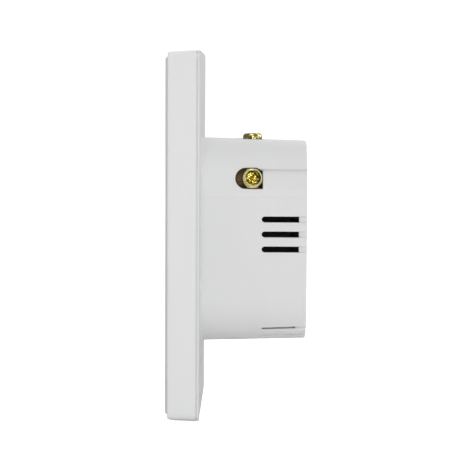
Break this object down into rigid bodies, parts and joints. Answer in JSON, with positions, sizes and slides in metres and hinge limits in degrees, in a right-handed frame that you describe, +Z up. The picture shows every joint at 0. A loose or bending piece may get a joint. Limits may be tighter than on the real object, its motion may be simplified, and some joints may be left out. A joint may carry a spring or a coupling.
{
  "type": "smart switch",
  "caption": "In-wall smart switch: white front plate with a full-face push key, and a deep moulded box with vents, wire channels and brass screw terminals.",
  "frame": {"origin": "middle of the two mounting screws, on the wall surface behind the front plate", "axes": "+Y into the wall, the front faces -Y, +Z up, +X towards the side of the box that the picture shows"},
  "size_m": [0.074, 0.0462, 0.12],
  "materials": {
    "housing_plastic": "satin white moulded plastic, fine grain",
    "bezel_plastic": "satin white moulded plastic",
    "key_plastic": "satin white moulded plastic",
    "clear_plastic": "frosted clear plastic",
    "pad_rubber": "matte black rubber",
    "carrier_plastic": "matte white moulded plastic",
    "zinc_steel": "zinc-plated sheet steel",
    "screw_steel": "zinc-plated steel",
    "green_board": "green solder mask over glass laminate",
    "black_plastic": "matte black moulded plastic",
    "led_plastic": "clear resin over white",
    "tinned_steel": "tinned sheet steel",
    "relay_plastic": "satin black moulded plastic",
    "winding_lacquer": "lacquered copper winding",
    "contact_brass": "brushed brass",
    "ferrite": "matte dark grey ferrite",
    "tape_plastic": "yellow tape over the winding",
    "black_sleeve": "black plastic sleeve over an aluminium can",
    "film_plastic": "satin black potting box",
    "fuse_plastic": "black plastic box",
    "varistor_lacquer": "blue epoxy coating",
    "strip_brass": "dull stamped brass",
    "clamp_brass": "stamped brass",
    "screw_brass": "bright brass"
  },
  "bodies": {
    "housing": {"rear_housing": "housing_plastic", "bezel": "bezel_plastic", "bumper_pads": "pad_rubber", "carrier_plate": "carrier_plastic", "mounting_strap": "zinc_steel", "assembly_screws": "screw_steel", "button_board": "green_board", "tact_switch_bodies": "black_plastic", "status_led": "led_plastic", "radio_module": "green_board", "radio_shield": "tinned_steel", "board_header": "black_plastic", "board_socket": "black_plastic", "power_board": "green_board", "relay_cover": "relay_plastic", "relay_base": "black_plastic", "relay_yoke": "zinc_steel", "relay_coil": "winding_lacquer", "relay_contacts": "contact_brass", "transformer_core": "ferrite", "transformer_bobbin": "tape_plastic", "capacitors": "black_sleeve", "film_capacitor": "film_plastic", "fuse": "fuse_plastic", "varistor": "varistor_lacquer", "terminal_strip_near": "strip_brass", "terminal_strip_far": "strip_brass", "terminal_strip_top": "strip_brass"},
    "key": {"front_key": "key_plastic", "light_pipe": "clear_plastic"},
    "tact_plungers": {"tact_plungers": "black_plastic"},
    "armature": {"relay_armature": "zinc_steel"},
    "clamp_near": {"clamp_plate_near": "clamp_brass"},
    "screw_near": {"terminal_screw_near": "screw_brass"},
    "clamp_far": {"clamp_plate_far": "clamp_brass"},
    "screw_far": {"terminal_screw_far": "screw_brass"},
    "clamp_top": {"clamp_plate_top": "clamp_brass"},
    "screw_top": {"terminal_screw_top": "screw_brass"}
  },
  "joints": [
    {"name": "key_press", "type": "slide", "parent": "housing", "child": "key", "axis": [0, 1, 0], "range_m": [0, 0.00035], "stiffness_N_per_m": 4000},
    {"name": "plunger_press", "type": "slide", "parent": "housing", "child": "tact_plungers", "axis": [0, 1, 0], "range_m": [0, 0.00035]},
    {"name": "armature_swing", "type": "hinge", "parent": "housing", "child": "armature", "pos_m": [-0.007, 0.01865, -0.013], "axis": [0, 0, -1], "range_deg": [0, 3.5], "stiffness_Nm_per_rad": 0.01},
    {"name": "clamp_near_slide", "type": "slide", "parent": "housing", "child": "clamp_near", "axis": [1, 0, 0], "range_m": [-0.00159, 0.0004]},
    {"name": "screw_near_turn", "type": "hinge", "parent": "clamp_near", "child": "screw_near", "pos_m": [0.0214, 0.01705, 0.0213], "axis": [1, 0, 0], "range_deg": [-720, 180]},
    {"name": "clamp_far_slide", "type": "slide", "parent": "housing", "child": "clamp_far", "axis": [-1, 0, 0], "range_m": [-0.00159, 0.0004]},
    {"name": "screw_far_turn", "type": "hinge", "parent": "clamp_far", "child": "screw_far", "pos_m": [-0.0214, 0.01705, 0.0213], "axis": [-1, 0, 0], "range_deg": [-720, 180]},
    {"name": "clamp_top_slide", "type": "slide", "parent": "housing", "child": "clamp_top", "axis": [0, 0, 1], "range_m": [-0.00159, 0.0004]},
    {"name": "screw_top_turn", "type": "hinge", "parent": "clamp_top", "child": "screw_top", "pos_m": [0, 0.01705, 0.0337], "axis": [0, 0, 1], "range_deg": [-720, 180]}
  ],
  "couplings": [
    {"joint": "plunger_press", "follows": "key_press", "ratio": 1},
    {"joint": "screw_near_turn", "follows": "clamp_near_slide", "rad_per_m": 7915.8},
    {"joint": "screw_far_turn", "follows": "clamp_far_slide", "rad_per_m": 7915.8},
    {"joint": "screw_top_turn", "follows": "clamp_top_slide", "rad_per_m": 7915.8}
  ]
}
